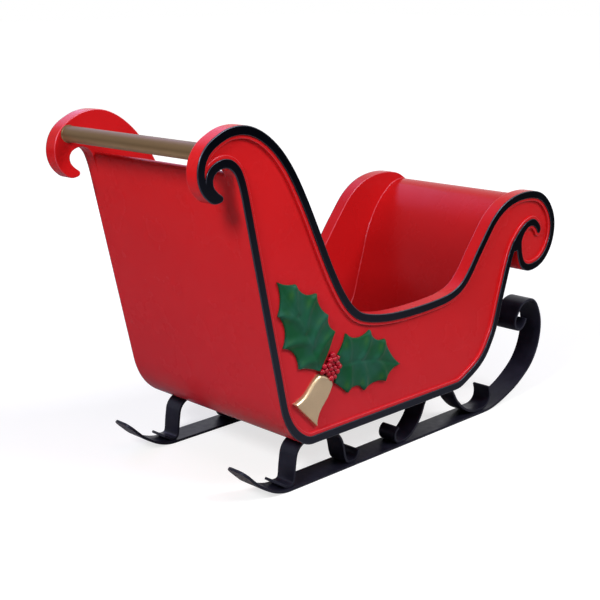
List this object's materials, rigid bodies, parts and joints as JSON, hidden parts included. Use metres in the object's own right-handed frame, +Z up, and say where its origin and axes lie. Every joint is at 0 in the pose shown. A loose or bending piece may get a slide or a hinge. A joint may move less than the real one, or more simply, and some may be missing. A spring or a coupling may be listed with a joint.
{
  "type": "child sleigh",
  "caption": "Child's sleigh with scrolled side panels, rolled dash, bench and push bar on flat-bar iron runners; red with a black border and a holly and bell relief.",
  "frame": {"origin": "on the floor under the middle of the sleigh", "axes": "+X forward, +Y to the sleigh's left, +Z up"},
  "size_m": [0.942, 0.409, 0.636],
  "materials": {
    "red_body": "satin gloss red paint on moulded panels",
    "black_border": "gloss black paint on a raised border",
    "black_iron": "satin black paint on flat iron bar",
    "gold_bar": "dull metallic gold paint on round bar",
    "holly_green": "hand-painted satin green relief",
    "berry_red": "gloss red paint",
    "bell_gold": "metallic gold paint"
  },
  "bodies": {
    "root": {"side_panel_right": "red_body", "side_panel_left": "red_body", "back_panel": "red_body", "floor_panel": "red_body", "dash_panel": "red_body", "seat_board": "red_body", "seat_riser": "red_body", "edge_trim_right": "black_border", "edge_trim_left": "black_border", "runner_right": "black_iron", "runner_left": "black_iron", "strut_rear_right": "black_iron", "strut_rear_left": "black_iron", "strut_second_right": "black_iron", "strut_second_left": "black_iron", "strut_third_right": "black_iron", "strut_third_left": "black_iron", "strut_front_right": "black_iron", "strut_front_left": "black_iron", "push_bar": "gold_bar", "leaf_upper_right": "holly_green", "leaf_upper_left": "holly_green", "leaf_lower_right": "holly_green", "leaf_lower_left": "holly_green", "berries_right": "berry_red", "berries_left": "berry_red", "bell_right": "bell_gold", "bell_left": "bell_gold"}
  },
  "joints": []
}
